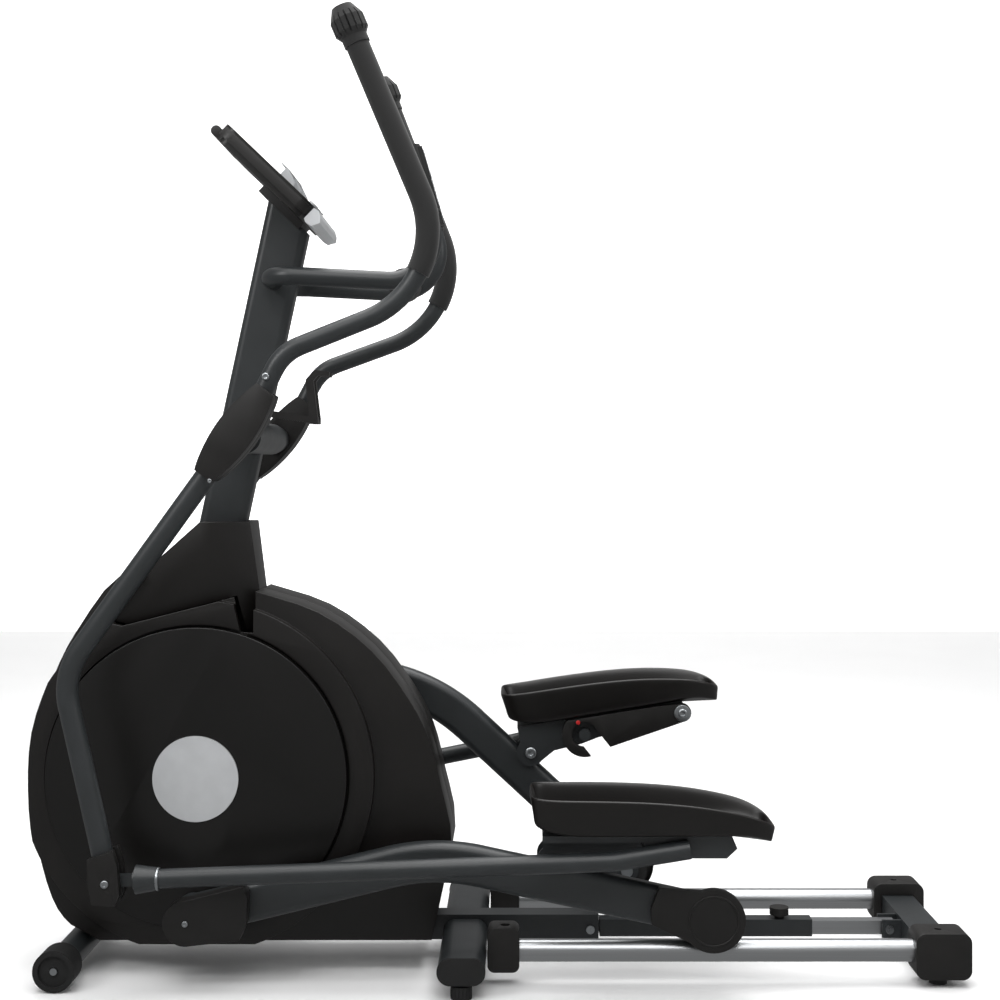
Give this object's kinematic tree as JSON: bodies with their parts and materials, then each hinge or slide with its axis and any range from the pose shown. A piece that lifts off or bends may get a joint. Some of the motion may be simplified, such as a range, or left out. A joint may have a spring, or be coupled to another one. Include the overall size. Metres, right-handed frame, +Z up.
{
  "type": "elliptical trainer",
  "caption": "Front-drive elliptical trainer with swinging hand levers, pedals on roller arms and rails, a covered flywheel housing, a tilted console and a fixed pulse handlebar.",
  "frame": {"origin": "on the floor, in the middle plane, halfway between the front and rear ends", "axes": "+X from the drive housing to the rear stabiliser, +Y to the user's right, +Z up"},
  "size_m": [1.613, 0.538, 1.6431],
  "materials": {
    "frame_paint": "dark grey powder coat, fine texture, satin",
    "black_plastic": "moulded black plastic, satin",
    "gloss_plastic": "smooth moulded black plastic, soft gloss",
    "black_rubber": "moulded black rubber, matt",
    "foam": "black foam sleeve, matt",
    "chrome": "bright chromed tube",
    "zinc": "zinc-plated steel",
    "silver_paint": "silver, satin",
    "cast_iron": "machined grey iron",
    "belt_rubber": "ribbed drive belt"
  },
  "bodies": {
    "root": {"main_beam": "frame_paint", "mast": "frame_paint", "swing_axle": "zinc", "bolts": "zinc", "front_stabiliser": "frame_paint", "middle_stabiliser": "frame_paint", "stabiliser_caps": "black_rubber", "levelling_feet": "black_rubber", "rails": "chrome", "front_rail_caps": "black_plastic", "rear_caps": "black_rubber", "rear_stabiliser": "frame_paint", "strut_outer": "frame_paint", "strut_inner": "zinc", "shroud": "black_plastic", "crank_bearings": "zinc", "belt": "belt_rubber", "brake_motor": "black_plastic", "console_back": "black_plastic", "console_face": "gloss_plastic", "console_trim": "silver_paint", "handlebar": "frame_paint", "handlebar_pod": "black_plastic", "pulse_grips": "foam", "bottle_cage": "black_plastic", "left_shell": "black_plastic", "right_shell": "black_plastic"},
    "crank": {"crank_axle": "zinc", "hub_caps": "silver_paint", "drive_pulley": "black_plastic", "left_crank_disc": "gloss_plastic", "right_crank_disc": "gloss_plastic"},
    "flywheel": {"flywheel": "cast_iron"},
    "magnet_yoke": {"magnet_yoke": "zinc"},
    "strut_knob": {"strut_knob": "black_plastic"},
    "key_down": {"key_down": "silver_paint"},
    "key_start": {"key_start": "silver_paint"},
    "key_up": {"key_up": "silver_paint"},
    "left_wheel": {"left_transport_wheel": "black_rubber"},
    "right_wheel": {"right_transport_wheel": "black_rubber"},
    "left_arm": {"left_swing_arm": "frame_paint", "left_grip": "foam", "left_arm_covers": "black_plastic"},
    "left_pedal_arm": {"left_pedal_link": "frame_paint", "left_pedal": "black_plastic"},
    "left_latch": {"left_latch": "black_plastic"},
    "left_roller_arm": {"left_roller_arm": "frame_paint", "left_arm_pins": "zinc", "left_arm_guards": "black_plastic"},
    "left_roller": {"left_roller": "black_rubber"},
    "right_arm": {"right_swing_arm": "frame_paint", "right_grip": "foam", "right_arm_covers": "black_plastic"},
    "right_pedal_arm": {"right_pedal_link": "frame_paint", "right_pedal": "black_plastic"},
    "right_latch": {"right_latch": "black_plastic"},
    "right_roller_arm": {"right_roller_arm": "frame_paint", "right_arm_pins": "zinc", "right_arm_guards": "black_plastic"},
    "right_roller": {"right_roller": "black_rubber"}
  },
  "joints": [
    {"name": "crank_spin", "type": "hinge", "parent": "root", "child": "crank", "pos_m": [-0.5135, 0, 0.339], "axis": [0, 1, 0], "continuous": true},
    {"name": "flywheel_spin", "type": "hinge", "parent": "root", "child": "flywheel", "pos_m": [-0.2635, 0, 0.232], "axis": [0, 1, 0], "continuous": true},
    {"name": "magnet_tilt", "type": "hinge", "parent": "root", "child": "magnet_yoke", "pos_m": [-0.3905, 0, 0.267], "axis": [0, -1, 0], "range_deg": [0, 8]},
    {"name": "strut_pin_pull", "type": "slide", "parent": "root", "child": "strut_knob", "axis": [0, 0, 1], "range_m": [0, 0.012], "stiffness_N_per_m": 600, "springref_m": -0.004},
    {"name": "key_down_press", "type": "slide", "parent": "root", "child": "key_down", "axis": [-0.6909, 0, -0.723], "range_m": [0, 0.001], "stiffness_N_per_m": 300},
    {"name": "key_start_press", "type": "slide", "parent": "root", "child": "key_start", "axis": [-0.6909, 0, -0.723], "range_m": [0, 0.001], "stiffness_N_per_m": 300},
    {"name": "key_up_press", "type": "slide", "parent": "root", "child": "key_up", "axis": [-0.6909, 0, -0.723], "range_m": [0, 0.001], "stiffness_N_per_m": 300},
    {"name": "left_wheel_roll", "type": "hinge", "parent": "root", "child": "left_wheel", "pos_m": [-0.7325, -0.191, 0.035], "axis": [0, 1, 0], "continuous": true},
    {"name": "right_wheel_roll", "type": "hinge", "parent": "root", "child": "right_wheel", "pos_m": [-0.7325, 0.191, 0.035], "axis": [0, 1, 0], "continuous": true},
    {"name": "left_swing", "type": "hinge", "parent": "root", "child": "left_arm", "pos_m": [-0.4255, -0.24, 0.928], "axis": [0, -1, 0], "range_deg": [-17, 11]},
    {"name": "left_knuckle", "type": "hinge", "parent": "left_arm", "child": "left_pedal_arm", "pos_m": [-0.63392, -0.24, 0.19443], "axis": [0, -1, 0], "range_deg": [-13, 13]},
    {"name": "left_latch_lift", "type": "hinge", "parent": "left_pedal_arm", "child": "left_latch", "pos_m": [0.39288, -0.16, 0.24522], "axis": [0, -1, 0], "range_deg": [0, 3]},
    {"name": "left_roller_travel", "type": "slide", "parent": "root", "child": "left_roller_arm", "axis": [1, 0, 0], "range_m": [-0.22, 0.22]},
    {"name": "left_roller_spin", "type": "hinge", "parent": "left_roller_arm", "child": "left_roller", "pos_m": [0.3715, -0.16, 0.113], "axis": [0, 1, 0], "continuous": true},
    {"name": "right_swing", "type": "hinge", "parent": "root", "child": "right_arm", "pos_m": [-0.4255, 0.24, 0.928], "axis": [0, -1, 0], "range_deg": [-11, 17]},
    {"name": "right_knuckle", "type": "hinge", "parent": "right_arm", "child": "right_pedal_arm", "pos_m": [-0.65565, 0.24, 0.20096], "axis": [0, -1, 0], "range_deg": [-13, 13]},
    {"name": "right_latch_lift", "type": "hinge", "parent": "right_pedal_arm", "child": "right_latch", "pos_m": [0.34983, 0.16, 0.41525], "axis": [0, -1, 0], "range_deg": [0, 3]},
    {"name": "right_roller_travel", "type": "slide", "parent": "root", "child": "right_roller_arm", "axis": [1, 0, 0], "range_m": [-0.22, 0.22]},
    {"name": "right_roller_spin", "type": "hinge", "parent": "right_roller_arm", "child": "right_roller", "pos_m": [0.24796, 0.16, 0.113], "axis": [0, 1, 0], "continuous": true}
  ],
  "couplings": [
    {"joint": "flywheel_spin", "follows": "crank_spin", "ratio": 7.5},
    {"joint": "right_swing", "follows": "left_swing", "ratio": -1},
    {"joint": "left_roller_travel", "follows": "left_swing", "m_per_rad": 0.722},
    {"joint": "right_roller_travel", "follows": "left_swing", "m_per_rad": -0.722},
    {"joint": "left_knuckle", "follows": "left_swing", "ratio": -0.718},
    {"joint": "right_knuckle", "follows": "left_swing", "ratio": 0.718}
  ]
}
